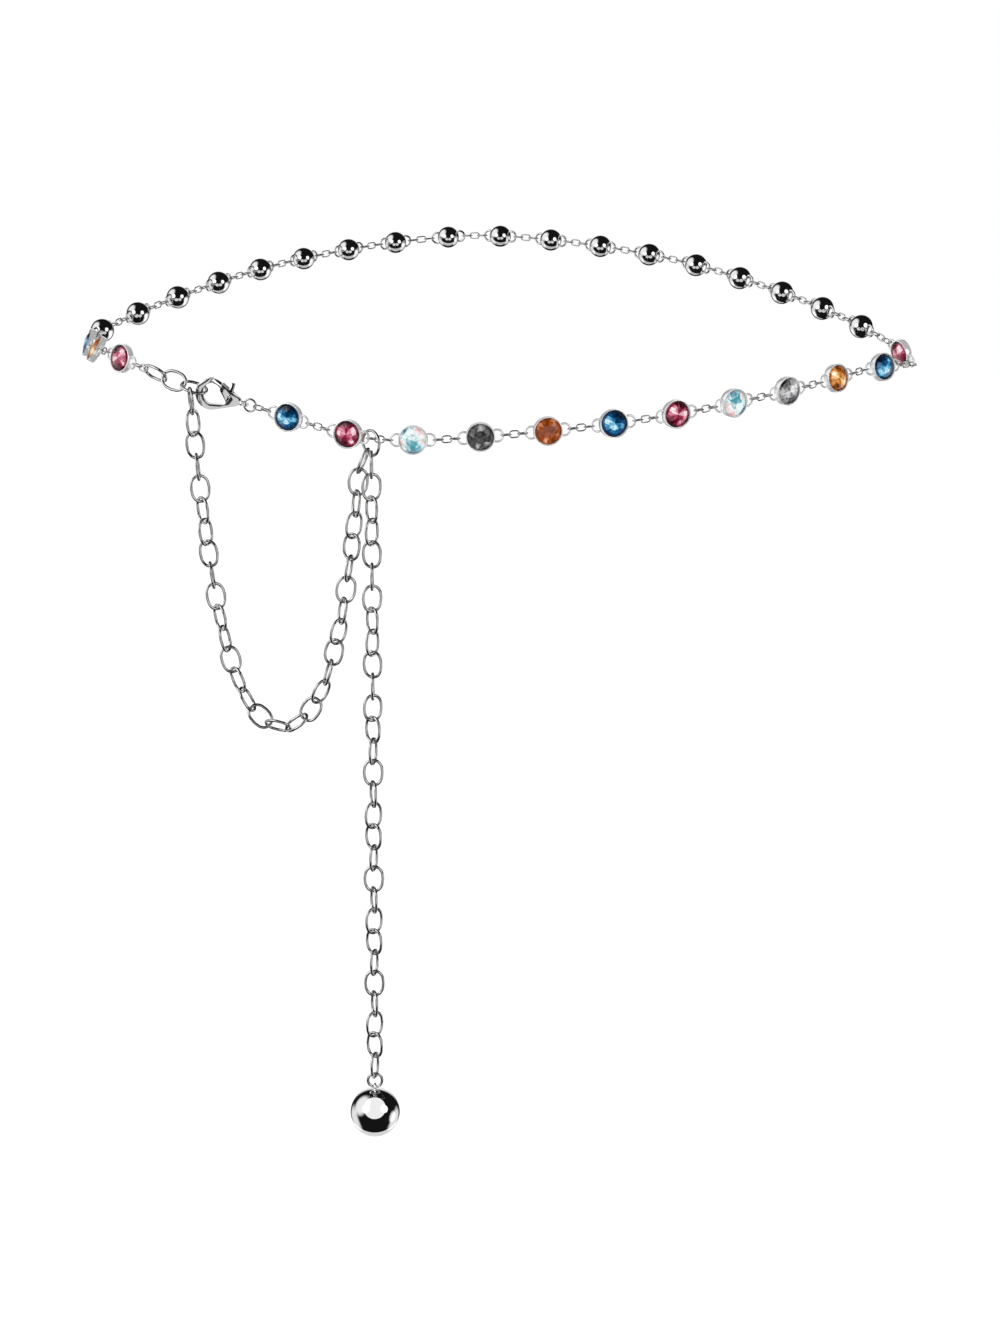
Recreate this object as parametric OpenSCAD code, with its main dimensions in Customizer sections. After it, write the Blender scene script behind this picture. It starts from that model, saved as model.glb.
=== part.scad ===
// Waist chain. One closed loop carries fifteen crystals in channel settings and eighteen polished
// balls, and a lobster clasp shuts it at the left front. The tail of the extender chain hangs from
// the clasp as a swag to a jump ring, and a drop chain with a polished ball hangs from that ring.
// Origin at the middle of the loop, +Z up, the wearer's front towards -Y.

/* [Loop] */
// Distance between neighbouring beads, centre to centre
bead_pitch = 19.5; // [18.5:0.5:24]
// Clearance left where one link pulls against the next in a straight run
play = 0.11; // [0.1:0.01:0.14]

/* [Crystals] */
// Diameter of a round crystal
crystal_d = 8; // [7:0.25:8.5]
// Width of the flat table on each face of a crystal
crystal_table = 3.8; // [3:0.2:5]
// Height of each crown above the girdle
crystal_crown = 1.3; // [1:0.1:1.6]

/* [Settings] */
// Clearance between a crystal's girdle and its setting
seat_gap = 0.06; // [0.04:0.01:0.1]
// Wall thickness of the channel round a crystal
channel_wall = 0.22; // [0.2:0.02:0.4]
// Depth of the channel, from face to face
channel_depth = 2; // [1.8:0.1:2.6]
// How far the channel's lips reach in over the crystal
lip_reach = 0.12; // [0.08:0.02:0.3]
// Thickness of the channel's lips
lip_t = 0.3; // [0.2:0.05:0.4]
// How far a side loop stands out from the channel
loop_out = 2.6; // [2.2:0.1:2.8]

/* [Balls and side loops] */
// Diameter of a polished ball
ball_d = 7.4; // [6.4:0.2:8.2]
// How far a side loop stands out from a ball
ball_loop_out = 2.5; // [2.2:0.1:3]
// Outer diameter of every side loop
loop_d = 4.2; // [3.8:0.1:4.6]
// Wire thickness of a side loop
loop_wire = 0.7; // [0.5:0.05:0.8]

/* [Small links] */
// Wire thickness of the small links between the beads
small_wire = 0.45; // [0.35:0.05:0.5]
// Outer width of a small link
small_w = 2.4; // [2.2:0.1:2.6]

/* [Extender chain] */
// Outer length of an extender link
link_len = 8.5; // [7.5:0.25:9.5]
// Outer width of an extender link
link_w = 6.3; // [5.5:0.1:6.6]
// Wire thickness of an extender link
link_wire = 0.9; // [0.7:0.05:1]
// Number of links in the swag
swag_count = 31; // [26:5:36]
// Number of links in the drop
drop_count = 29; // [15:1:35]
// Turn of each extender link against the last one
link_turn = 72; // [66:1:90]
// Clearance from link to link in the swag, where they also bend against each other
swag_play = 0.22; // [0.16:0.02:0.3]

/* [Clasp] */
// Length of the clasp over its hook and eye
clasp_len = 16; // [15.5:0.5:20]
// Width of the clasp across the hook
clasp_w = 9.2; // [8.6:0.2:10]
// Thickness of the clasp body
clasp_t = 2.6; // [2.4:0.1:3]
// Width of the hook's bar
hook_w = 1.6; // [1.3:0.1:1.8]
// Thickness of the lever
lever_t = 1.2; // [1:0.1:1.4]
// Diameter of the lever's pin
pin_d = 1; // [0.8:0.1:1.1]
// Outer diameter of the eye
eye_d = 3.2; // [3:0.1:3.6]
// Bore of the eye
eye_bore = 1.6; // [1.4:0.1:1.8]
// Thickness of the eye
eye_t = 1; // [0.8:0.1:1.3]
// Outer diameter of the ring between the clasp and the small links
clasp_ring_d = 4.2; // [4:0.1:5]
// Wire thickness of that ring
clasp_ring_wire = 0.6; // [0.5:0.05:0.7]

/* [Jump ring] */
// Outer diameter of the jump ring that carries the swag and the drop
jump_ring_d = 8.2; // [8:0.1:9.4]
// Wire thickness of the jump ring
jump_ring_wire = 0.9; // [0.7:0.05:0.95]
// Angle of the jump ring to the chain that it goes round
jump_ring_turn = 35; // [34:1:45]

/* [Drop ball] */
// Diameter of the drop ball
drop_ball_d = 15; // [12:0.5:18]
// Outer diameter of the ring that holds the ball
drop_ring_d = 5.2; // [5:0.1:6.5]
// Wire thickness of that ring
drop_ring_wire = 0.9; // [0.7:0.05:0.95]
// Wire thickness of the ball's eye
ball_eye_wire = 0.7; // [0.5:0.05:0.8]
// Clearance of the ring's wire in the ball's eye
ball_eye_gap = 0.15; // [0.1:0.05:0.25]
// Taken out of the eye's bore, for the round face the ball swings on
ball_eye_ream = 0.06; // [0.04:0.01:0.1]

/* [Hidden] */

// Colour and tilt of each crystal, from the first one right of the clasp, round the right side
CRYSTALS = [
    ["royalblue", 0], ["hotpink", 0], ["lightcyan", 0], ["dimgray", 0], ["sienna", 0],
    ["royalblue", -4], ["hotpink", 0], ["lightcyan", 0], ["gainsboro", 0], ["peru", -8],
    ["royalblue", -10], ["hotpink", -12], ["royalblue", -20], ["chocolate", -32], ["hotpink", -10],
];
front_crystals = 12;
ball_count = 18;
crystal_count = len(CRYSTALS);
bead_count = crystal_count + ball_count;

// Route of the worn loop, seen from above: back middle, left side, front, right side
WAIST_ROUTE = [
    [-20, 106, 18], [-43, 92, 16], [-71, 66, 12], [-99, 32, 5], [-119, -1, -2],
    [-117, -26, -3], [-108, -49, -2], [-88, -63, -8], [-59, -70, -16], [-28, -82, -22],
    [12, -84, -20], [56, -74, -16], [96, -52, -11], [123, -31, -7], [134, -23, -7],
    [122, -7, 1], [101, 24, 8], [70, 58, 15], [35, 83, 19], [3, 100, 20],
];
route_steps = 10;
// Place of the first crystal, as a share of the way round the route
first_share = 0.385;

small_per_gap = 3;
// Turn of the links in the closing stretch about the chain's own line
lead_small_turns = [0, 62];
lead_turns = [128, 74, 20];
clasp_small_turns = [30, -30];

steel = "silver";
polished = "gainsboro";
smooth = 48;

// Reach of a bead, from its centre to the inner side of its loop's end
crystal_seat_r = crystal_d/2 + seat_gap;
// The lips stay this clearance off both crowns, which leaves the crystal its girdle
crystal_girdle = channel_depth - 2*(lip_t + seat_gap)
    - 2*lip_reach*crystal_crown/((crystal_d - crystal_table)/2);
channel_r = crystal_seat_r + channel_wall;
crystal_reach = channel_r + loop_out - loop_wire;
ball_reach = ball_d/2 + ball_loop_out - loop_wire;

// Inner length of a link, and how far each one moves the next along
link_in = link_len - 2*link_wire;
link_step = link_in - play;
small_in = small_inner(crystal_reach, crystal_reach);
small_step = small_in - play;

// The closing stretch, measured from the centre of the last crystal
lead_from = crystal_reach + len(lead_small_turns)*small_step;
lead_end = lead_from + len(lead_turns)*link_step;
link_half_w = (link_w - link_wire)/2;
hanger = len(lead_turns) - 1;
clasp_from = lead_end - play - hook_w - bow(link_half_w - link_wire/2, clasp_t/2/cos(lead_turns[hanger]))
    - bow(clasp_w/2 - hook_w, link_wire);
eye_wall = (eye_d - eye_bore)/2;
clasp_ring_in = clasp_ring_d - 2*clasp_ring_wire;
ring_from = clasp_from + clasp_len - eye_wall - play - bow(clasp_ring_in/2, eye_t/2);
ring_end = ring_from + clasp_ring_in;
closing_len = ring_end + len(clasp_small_turns)*small_step - play + crystal_reach;

// Directions, from the hook's middle and from the pivot, that the gate's outline runs between
gate_from = 125;
gate_to = 62;
gate_root = 52;
hub_to = -130;

loop_len = (bead_count - 1)*bead_pitch + closing_len;

// Clasp outline, with the hook's outer end at x = 0 and the eye's outer end at clasp_len
hook_r = clasp_w/2;
hook_c = [hook_r, 0];
tail_r = 1.5;
eye_overlap = 0.66;
tail_c = [clasp_len - eye_d + eye_overlap - tail_r, 0];
hole_r = hook_r - hook_w;
hole_end_r = 0.9;
hole_end_c = [tail_c.x - 3.3, -1.2];
pivot = [tail_c.x - 1.9, 1];
hub_r = 1;
gate_r = pivot.x - hook_c.x + 1.6;
slot_gap = 0.1;
pin_gap = 0.02;
hub_gap = 0.06;
tab_w = 1.2;
tab_top = hook_r + 0.3;

function unit(v) = v/norm(v);
// How far a round of radius r falls away at a distance of w from its middle
function bow(r, w) = r - sqrt(r*r - w*w);
function sinh(x) = (exp(x) - exp(-x))/2;
function cosh(x) = (exp(x) + exp(-x))/2;
function asinh(x) = sign(x)*ln(abs(x) + sqrt(x*x + 1));
function atanh(x) = ln((1 + x)/(1 - x))/2;
function two_digits(n) = n < 10 ? str("0", n) : str(n);
function arc(c, r, from, to, n) = [for (i = [0:n]) c + r*[cos(from + (to - from)*i/n), sin(from + (to - from)*i/n)]];

// Smooth closed curve through the route's points, brought to the length of the chain
function curve(a, b, c, d, t) =
    0.5*(2*b + (c - a)*t + (2*a - 5*b + 4*c - d)*t*t + (3*b - a - 3*c + d)*t*t*t);
route_n = len(WAIST_ROUTE);
route_dots = [for (i = [0:route_n - 1]) for (k = [0:route_steps - 1])
    curve(WAIST_ROUTE[(i + route_n - 1) % route_n], WAIST_ROUTE[i],
        WAIST_ROUTE[(i + 1) % route_n], WAIST_ROUTE[(i + 2) % route_n], k/route_steps)];
dot_n = len(route_dots);
function dot_gap(i) = norm(route_dots[(i + 1) % dot_n] - route_dots[i % dot_n]);
route_at = [for (i = 0, s = 0; i <= dot_n; s = s + dot_gap(i), i = i + 1) s];
route_scale = loop_len/route_at[dot_n];
route_table = [for (axis = [0:2]) [for (i = [0:dot_n])
    [route_at[i]*route_scale, route_dots[i % dot_n][axis]*route_scale]]];
function along_loop(s) = let(w = s - loop_len*floor(s/loop_len)) [for (axis = [0:2]) lookup(w, route_table[axis])];

// Beads: station 0 is the first crystal, and the balls follow the front crystals
first_at = first_share*loop_len;
function bead_at(k) = first_at + k*bead_pitch;
function is_ball(k) = k >= front_crystals && k < front_crystals + ball_count;
function reach(k) = is_ball(k) ? ball_reach : crystal_reach;
function bead_ends(k) = [along_loop(bead_at(k) - reach(k)), along_loop(bead_at(k) + reach(k))];
function bead_mid(k) = let(e = bead_ends(k)) (e[0] + e[1])/2;
function bead_dir(k) = let(e = bead_ends(k)) unit(e[1] - e[0]);
// Middle of the bar at the end of a bead's loop, and where a small link that runs on to p pulls on it
function bead_bar(k, side) = bead_mid(k) + side*(reach(k) + loop_wire/2)*bead_dir(k);
function bead_pull(k, side, p) = bead_bar(k, side) - loop_wire/2*unit(p - bead_bar(k, side));
function crystal_station(i) = i < front_crystals ? i : i + ball_count;
function bead_tilt(k) = is_ball(k) ? 0 : CRYSTALS[k < front_crystals ? k : k - ball_count][1];
// Way that the bars of a bead's loops run, and the roll about d that stands a link square to such a bar
function side_way(d) = unit([-d.y, d.x, 0]);
function up_way(d) = cross(unit(d), side_way(d));
function bar_way(k) = cos(bead_tilt(k))*up_way(bead_dir(k)) - sin(bead_tilt(k))*side_way(bead_dir(k));
function roll_onto(d, way) = atan2(-way*side_way(d), way*up_way(d));
function small_inner(reach_a, reach_b) =
    (bead_pitch - reach_a - reach_b + (small_per_gap + 1)*play)/small_per_gap;

// Places along the closing stretch
last = bead_count - 1;
function closing_at(s) = along_loop(bead_at(last) + s);
function lead_mid(j) = lead_from - play + j*link_step + link_in/2;
function lead_dir(j) = unit(closing_at(lead_mid(j) + link_in/2) - closing_at(lead_mid(j) - link_in/2));
clasp_dir = unit(closing_at(clasp_from + clasp_len) - closing_at(clasp_from));
clasp_mid = closing_at(clasp_from + clasp_len/2);

// The jump ring rests on the side loop of the second crystal
ring_station = 1;
ring_lift = loop_d/2 - loop_wire/2 + 0.15;
jump_ring_r = (jump_ring_d - jump_ring_wire)/2;
jump_ring_in_r = jump_ring_d/2 - jump_ring_wire;
jump_ring_at = bead_at(ring_station) + crystal_reach + loop_wire + 0.35;
jump_ring_c = along_loop(jump_ring_at) + [0, 0, ring_lift - jump_ring_in_r];
jump_ring_dir = let(d = along_loop(jump_ring_at + 1) - along_loop(jump_ring_at - 1)) unit([d.x, d.y, 0]);
jump_ring_side = jump_ring_dir*cos(jump_ring_turn) + [jump_ring_dir.y, -jump_ring_dir.x, 0]*sin(jump_ring_turn);
function ring_fall(u) = sqrt(jump_ring_r*jump_ring_r - u*u);
drop_slide = 0.1;
swag_slide = -1.8;
strand_slack = 0.15;
// The two strands push apart where they leave the ring, so the swag's last link leans away
swag_lean = 22;

// Top of a link's hole where it hangs in the jump ring, u along the ring from its lowest point
function hang_top(u) = jump_ring_c + u*jump_ring_side - [0, 0, ring_fall(u)]
    + [0, 0, ((jump_ring_wire + link_wire)/2 + play)*jump_ring_r/ring_fall(u) - link_wire/2 + strand_slack];

// Hanging chains start where the top of a link's hole meets the wire that carries it
drop_top = hang_top(drop_slide);
drop_end = drop_top - [0, 0, drop_count*link_step + play];
swag_step = link_in - swag_play;
swag_start = closing_at(lead_mid(hanger)) - lead_dir(hanger)*(hook_w - link_wire)/2
    - link_half_w*cos(lead_turns[hanger])*unit([-lead_dir(hanger).y, lead_dir(hanger).x, 0])
    - [0, 0, link_half_w*sin(lead_turns[hanger])] + [0, 0, link_wire/2 + play];
swag_hang = hang_top(swag_slide);
swag_head = unit([swag_hang.x - swag_start.x, swag_hang.y - swag_start.y, 0]);
last_swag_dir = sin(swag_lean)*swag_head + [0, 0, cos(swag_lean)];
swag_stop = swag_hang - swag_step*last_swag_dir;

// Catenary of the swag: its length, span and rise give its shape
swag_len = (swag_count - 1)*swag_step + swag_play;
swag_flat = [swag_stop.x - swag_start.x, swag_stop.y - swag_start.y];
swag_span = norm(swag_flat);
swag_rise = swag_stop.z - swag_start.z;
swag_ratio = sqrt(swag_len*swag_len - swag_rise*swag_rise)/swag_span;
function half_span(lo, hi, n) = let(q = (lo + hi)/2)
    n == 0 ? q : sinh(q)/q < swag_ratio ? half_span(q, hi, n - 1) : half_span(lo, q, n - 1);
swag_a = swag_span/(2*half_span(0.01, 8, 40));
swag_low = swag_span/2 - swag_a*atanh(swag_rise/swag_len);
function swag_x(s) = swag_low + swag_a*asinh(s/swag_a - sinh(swag_low/swag_a));
function swag_z(x) = swag_a*(cosh((x - swag_low)/swag_a) - cosh(swag_low/swag_a));
function along_swag(s) = let(x = swag_x(s)) swag_start
    + [swag_flat.x*x/swag_span, swag_flat.y*x/swag_span, swag_z(x)];

// Each chain twists by link_turn from link to link, less where it was laid down flatter: from this
// link on, over this many links, by this angle in all
SWAG_EASES = [[0, 1, 22], [10, 5, 64], [17, 5, 64]];
DROP_EASES = [[10, 3, 18]];
swag_first_turn = -30;
function eased(eases, j) = [for (e = eases) e[2]]*[for (e = eases) min(max(j - e[0], 0), e[1])/e[1]];
function swag_roll(j) = swag_first_turn + link_turn*j - eased(SWAG_EASES, j);
function drop_roll(j) = link_turn*j - eased(DROP_EASES, j);

drop_ring_r = (drop_ring_d - drop_ring_wire)/2;
drop_ring_c = drop_end + [0, 0, play - (drop_ring_d/2 - drop_ring_wire)];
ball_pivot = drop_ring_c - [0, 0, drop_ring_r];
ball_eye_r = drop_ring_wire/2 + ball_eye_gap + ball_eye_wire/2;
ball_eye_bore = 2*ball_eye_r - ball_eye_wire + ball_eye_ream;
drop_ball_c = ball_pivot - [0, 0, drop_ring_wire/2 + ball_eye_gap + drop_ball_d/2];

// Puts its child at p with +X along d, and then turns it about d
module along(p, d, roll = 0) {
    translate(p)
        rotate([0, -asin(d.z/norm(d)), atan2(d.y, d.x)])
            rotate([roll, 0, 0])
                children();
}

module ring(outer_d, wire) {
    rotate_extrude($fn = smooth)
        translate([(outer_d - wire)/2, 0])
            circle(d = wire, $fn = smooth/2);
}

// Oval extender link in the XY plane, long side along X: two half rings and two straight bars
module long_link() {
    bar = link_len - link_w;
    for (side = [-1, 1]) {
        translate([side*bar/2, 0, 0])
            rotate([0, 0, -90*side])
                rotate_extrude(angle = 180, $fn = smooth)
                    translate([link_half_w, 0])
                        circle(d = link_wire, $fn = smooth/2);
        translate([-bar/2, side*link_half_w, 0])
            rotate([0, 90, 0])
                cylinder(d = link_wire, h = bar, $fn = smooth/2);
    }
}

// Oval small link in the XY plane, as one light mesh: a half ring of flats at each end
module small_link(inner) {
    around = 12;
    sides = 5;
    half_w = (small_w - small_wire)/2;
    half_l = (inner + small_wire)/2;
    points = [for (i = [0:around - 1]) for (j = [0:sides - 1])
        let(a = 360*(i + 0.5)/around, b = 360*j/sides, end = cos(a) > 0 ? 1 : -1,
            r = half_w/cos(180/around) + cos(b)*small_wire/2)
        [end*(half_l - half_w) + r*cos(a), r*sin(a), sin(b)*small_wire/2]];
    faces = [for (i = [0:around - 1]) for (j = [0:sides - 1])
        let(i2 = (i + 1) % around, j2 = (j + 1) % sides)
        [i*sides + j, i*sides + j2, i2*sides + j2, i2*sides + j]];
    polyhedron(points, faces, convexity = 4);
}

// Small links in a row from one pull point to the next, with the same clearance at every contact
module small_row(from, to, inner, turns) {
    n = len(turns);
    slack = (n*inner - norm(to - from))/(n + 1);
    for (i = [0:n - 1])
        along(from + (inner/2 - slack + i*(inner - slack))*unit(to - from), to - from, turns[i])
            small_link(inner);
}

// The end links lie square to the bars that they go round, and the middle one stands across them
module bead_gap(k) {
    from = bead_bar(k, 1);
    to = bead_bar(k + 1, -1);
    turn_from = roll_onto(to - from, bar_way(k));
    turn_to = roll_onto(to - from, bar_way(k + 1));
    small_row(bead_pull(k, 1, to), bead_pull(k + 1, -1, from), small_inner(reach(k), reach(k + 1)),
        [turn_from, 90 + (turn_from + turn_to)/2, turn_to]);
}

// Cut crystal with a table, crown facets and girdle on both faces, its axis along Z
module cut_crystal() {
    facets = 8;
    table_r = crystal_table/2;
    top = crystal_girdle/2 + crystal_crown;
    table = [for (i = [0:facets - 1]) table_r*[cos(360*i/facets), sin(360*i/facets)]];
    rim = [for (i = [0:2*facets - 1]) crystal_d/2*[cos(180*i/facets), sin(180*i/facets)]];
    points = concat(
        [for (p = table) [p.x, p.y, top]], [for (p = rim) [p.x, p.y, crystal_girdle/2]],
        [for (p = rim) [p.x, p.y, -crystal_girdle/2]], [for (p = table) [p.x, p.y, -top]]);
    n = 2*facets;
    up = facets;
    down = up + n;
    under = down + n;
    faces = concat(
        [[for (i = [0:facets - 1]) facets - 1 - i]],
        [for (i = [0:facets - 1]) let(j = (i + 1) % facets) [i, j, up + 2*i + 1]],
        [for (i = [0:facets - 1]) [i, up + 2*i + 1, up + 2*i]],
        [for (i = [0:facets - 1]) [i, up + 2*i, up + (2*i + n - 1) % n]],
        [for (i = [0:n - 1]) let(j = (i + 1) % n) [up + i, up + j, down + j, down + i]],
        [for (i = [0:facets - 1]) let(j = (i + 1) % facets) [under + j, under + i, down + 2*i + 1]],
        [for (i = [0:facets - 1]) [under + i, down + 2*i, down + 2*i + 1]],
        [for (i = [0:facets - 1]) [under + i, down + (2*i + n - 1) % n, down + 2*i]],
        [[for (i = [0:facets - 1]) under + i]]);
    polyhedron(points, faces, convexity = 2);
}

module crystal(i) {
    k = crystal_station(i);
    color(CRYSTALS[i][0])
        along(bead_mid(k), bead_dir(k), CRYSTALS[i][1])
            rotate([90, 0, 0])
                cut_crystal();
}

// Channel round a crystal, with a lip over each face and a loop at each side
module channel_setting() {
    half = channel_depth/2;
    lip_r = crystal_d/2 - lip_reach;
    rotate_extrude($fn = smooth)
        polygon([[channel_r, -half], [channel_r, half], [lip_r, half], [lip_r, half - lip_t],
            [crystal_seat_r, half - lip_t - lip_reach/2], [crystal_seat_r, lip_t + lip_reach/2 - half],
            [lip_r, lip_t - half], [lip_r, -half]]);
    difference() {
        for (side = [-1, 1])
            translate([side*(channel_r + loop_out - loop_d/2), 0, 0])
                ring(loop_d, loop_wire);
        cylinder(r = crystal_seat_r + channel_wall/2, h = channel_depth, center = true, $fn = smooth);
    }
}

module setting(i) {
    k = crystal_station(i);
    color(steel)
        along(bead_mid(k), bead_dir(k), CRYSTALS[i][1])
            rotate([90, 0, 0])
                channel_setting();
}

module ball(i) {
    k = front_crystals + i;
    color(polished)
        along(bead_mid(k), bead_dir(k))
            rotate([90, 0, 0]) {
                sphere(d = ball_d, $fn = smooth);
                for (side = [-1, 1])
                    translate([side*(ball_reach + loop_wire - loop_d/2), 0, 0])
                        ring(loop_d, loop_wire);
            }
}

module front_links() {
    color(steel) {
        for (k = [0:front_crystals - 1])
            bead_gap(k);
        for (k = [front_crystals + ball_count - 1:last - 1])
            bead_gap(k);
        small_row(bead_pull(last, 1, closing_at(lead_from)), closing_at(lead_from), small_in,
            lead_small_turns);
        small_row(closing_at(ring_end), bead_pull(0, -1, closing_at(ring_end)), small_in, clasp_small_turns);
    }
}

module back_links() {
    color(steel)
        for (k = [front_crystals:front_crystals + ball_count - 2])
            bead_gap(k);
}

module lead_links() {
    color(steel)
        for (j = [0:len(lead_turns) - 1])
            along(closing_at(lead_mid(j)), lead_dir(j), lead_turns[j])
                long_link();
}

module swag_chain() {
    color(steel)
        for (j = [0:swag_count - 1]) {
            hung = j == swag_count - 1;
            from = hung ? swag_hang - link_in*last_swag_dir : along_swag(j*swag_step);
            to = hung ? swag_hang : along_swag(j*swag_step + link_in);
            along((from + to)/2, to - from, swag_roll(j))
                long_link();
        }
}

module drop_chain() {
    color(steel)
        for (j = [0:drop_count - 1])
            along(drop_top - [0, 0, link_in/2 + j*link_step], [0, 0, -1], drop_roll(j))
                long_link();
}

module jump_ring() {
    color(polished)
        along(jump_ring_c, jump_ring_side)
            rotate([90, 0, 0])
                ring(jump_ring_d, jump_ring_wire);
}

// Stands a flat clasp outline upright on the chain, hook first
module on_clasp() {
    along(clasp_mid, clasp_dir)
        translate([-clasp_len/2, 0, 0])
            rotate([90, 0, 0])
                children();
}

// Outline round two circles, one on each end
function teardrop(a, ra, b, rb, n) = let(t = acos((ra - rb)/norm(b - a)), lean = atan2(b.y - a.y, b.x - a.x))
    concat(arc(a, ra, lean + t, lean + 360 - t, n), arc(b, rb, lean - t, lean + t, n/2));

module clasp_body() {
    color(polished)
        on_clasp()
            difference() {
                union() {
                    linear_extrude(clasp_t, center = true)
                        difference() {
                            polygon(teardrop(hook_c, hook_r, tail_c, tail_r, 32));
                            polygon(teardrop(hook_c, hole_r, hole_end_c, hole_end_r, 24));
                            gate_window();
                        }
                    translate([clasp_len - eye_d/2, 0, 0])
                        rotate([90, 0, 0])
                            cylinder(d = eye_d, h = eye_t, center = true, $fn = smooth);
                }
                linear_extrude(lever_t + 2*slot_gap, center = true)
                    lever_slot();
                translate(pivot)
                    cylinder(d = pin_d + 2*pin_gap, h = clasp_t*2, center = true, $fn = smooth);
                translate([clasp_len - eye_d/2, 0, 0])
                    rotate([90, 0, 0])
                        cylinder(d = eye_bore, h = clasp_t, center = true, $fn = smooth);
            }
}

// The gate closes this stretch of the hook, and its end swings on this radius
module gate_window() {
    intersection() {
        translate(pivot)
            circle(r = gate_r + play, $fn = 2*smooth);
        translate([0, 1])
            square([hook_c.x + 2.4, hook_r + 1]);
    }
}

module lever_slot() {
    translate(pivot)
        circle(r = hub_r + 0.25, $fn = smooth);
    translate([hook_c.x - 2, -0.4])
        square([pivot.x + tab_w/2 + 0.25 - hook_c.x + 2, hook_r + 2]);
}

// Gate, hub and thumb tab in one outline round the pivot
module lever_outline() {
    intersection() {
        polygon(concat(
            arc(hook_c, hook_r - play, gate_from, gate_to, 10),
            [[pivot.x - tab_w/2, pivot.y + 1.2*hub_r], [pivot.x - tab_w/2, tab_top],
                [pivot.x + tab_w/2, tab_top]],
            arc(pivot, hub_r, asin(tab_w/2/hub_r)*-1 + 90, hub_to, 20),
            arc(hook_c, hole_r + play, gate_root, gate_from, 10)));
        translate(pivot)
            circle(r = gate_r, $fn = 2*smooth);
    }
}

module clasp_lever() {
    color(steel)
        on_clasp()
            difference() {
                linear_extrude(lever_t, center = true)
                    lever_outline();
                translate(pivot)
                    cylinder(d = pin_d + 2*hub_gap, h = clasp_t, center = true, $fn = smooth);
            }
}

module clasp_pin() {
    color(steel)
        on_clasp()
            translate(pivot)
                cylinder(d = pin_d, h = clasp_t, center = true, $fn = smooth);
}

module clasp_ring() {
    color(steel)
        along(closing_at(ring_from + clasp_ring_in/2),
            closing_at(ring_end) - closing_at(ring_from))
            rotate([90, 0, 0])
                ring(clasp_ring_d, clasp_ring_wire);
}

module drop_ring() {
    color(steel)
        along(drop_ring_c, [1, 0, 0])
            rotate([90, 0, 0])
                ring(drop_ring_d, drop_ring_wire);
}

module drop_ball() {
    color(polished) {
        translate(drop_ball_c)
            rotate([90, 0, 0])
                sphere(d = drop_ball_d, $fn = 2*smooth);
        translate(ball_pivot)
            rotate([0, 90, 0])
                difference() {
                    ring(2*ball_eye_r + ball_eye_wire, ball_eye_wire);
                    cylinder(d = ball_eye_bore, h = 2*ball_eye_wire, center = true, $fn = smooth);
                }
    }
}

for (i = [0:crystal_count - 1]) {
    crystal(i);
    setting(i);
}
for (i = [0:ball_count - 1])
    ball(i);
front_links();
back_links();
lead_links();
clasp_body();
clasp_lever();
clasp_pin();
clasp_ring();
swag_chain();
jump_ring();
drop_chain();
drop_ring();
drop_ball();
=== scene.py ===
# Waist chain in its worn form: cut crystals, mirror balls, oval links and a lobster clasp.
# Every piece is modelled once at the origin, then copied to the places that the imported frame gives.
import math
import random

import bmesh
import bpy
import numpy as np
from mathutils import Euler, Matrix, Vector


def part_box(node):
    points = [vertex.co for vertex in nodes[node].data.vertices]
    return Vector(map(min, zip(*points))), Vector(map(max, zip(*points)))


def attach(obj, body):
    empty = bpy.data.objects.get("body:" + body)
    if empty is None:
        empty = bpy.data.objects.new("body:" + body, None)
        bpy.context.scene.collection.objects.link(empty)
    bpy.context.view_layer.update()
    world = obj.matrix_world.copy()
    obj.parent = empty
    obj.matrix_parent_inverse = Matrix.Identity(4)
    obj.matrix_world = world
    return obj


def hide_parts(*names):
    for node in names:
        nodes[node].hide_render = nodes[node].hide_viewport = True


mm = 0.001
micron = 1e-6
skin = 0.02 * mm  # a dressed link is this much shorter than its solid

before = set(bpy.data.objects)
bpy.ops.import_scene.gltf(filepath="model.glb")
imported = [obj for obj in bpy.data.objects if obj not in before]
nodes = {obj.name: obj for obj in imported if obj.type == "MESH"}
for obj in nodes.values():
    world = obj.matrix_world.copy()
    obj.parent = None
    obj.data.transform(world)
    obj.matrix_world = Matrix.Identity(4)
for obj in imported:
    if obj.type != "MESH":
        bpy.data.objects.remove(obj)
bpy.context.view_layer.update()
print("frame loaded:", len(nodes), "nodes")

# Camera, fitted to the beads of the photograph
photoView = {
    "imageHeight": 1333,
    "focalPixels": 2847.96,
    "sensor": 36,
    "distance": 0.9,
    "rise": 0.12135,      # radians above the loop's level
    "pitch": 0.23947,     # radians down
    "sideways": 0.00801,
    "roll": 0.00508,
}


def addCamera(view):
    camData = bpy.data.cameras.new("photoCamera")
    camData.sensor_fit = "AUTO"
    camData.sensor_width = view["sensor"]
    camData.lens = view["focalPixels"] / view["imageHeight"] * view["sensor"]
    camData.clip_start = 0.01
    camData.clip_end = 50
    cam = bpy.data.objects.new("photoCamera", camData)
    bpy.context.scene.collection.objects.link(cam)
    place = Vector((view["sideways"], -view["distance"] * math.cos(view["rise"]),
                    view["distance"] * math.sin(view["rise"])))
    look = Euler((math.pi / 2 - view["pitch"], 0, 0)).to_matrix().to_4x4()
    cam.matrix_world = Matrix.Translation(place) @ look @ Matrix.Rotation(view["roll"], 4, "Z")
    bpy.context.scene.camera = cam


addCamera(photoView)
bpy.context.scene.view_settings.view_transform = "Standard"  # a plain white surround stays white
print("camera placed")


# Tools for modelling

def deselectAll():
    bpy.ops.object.select_all(action="DESELECT")


def makeActive(obj):
    deselectAll()
    obj.select_set(True)
    bpy.context.view_layer.objects.active = obj


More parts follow.
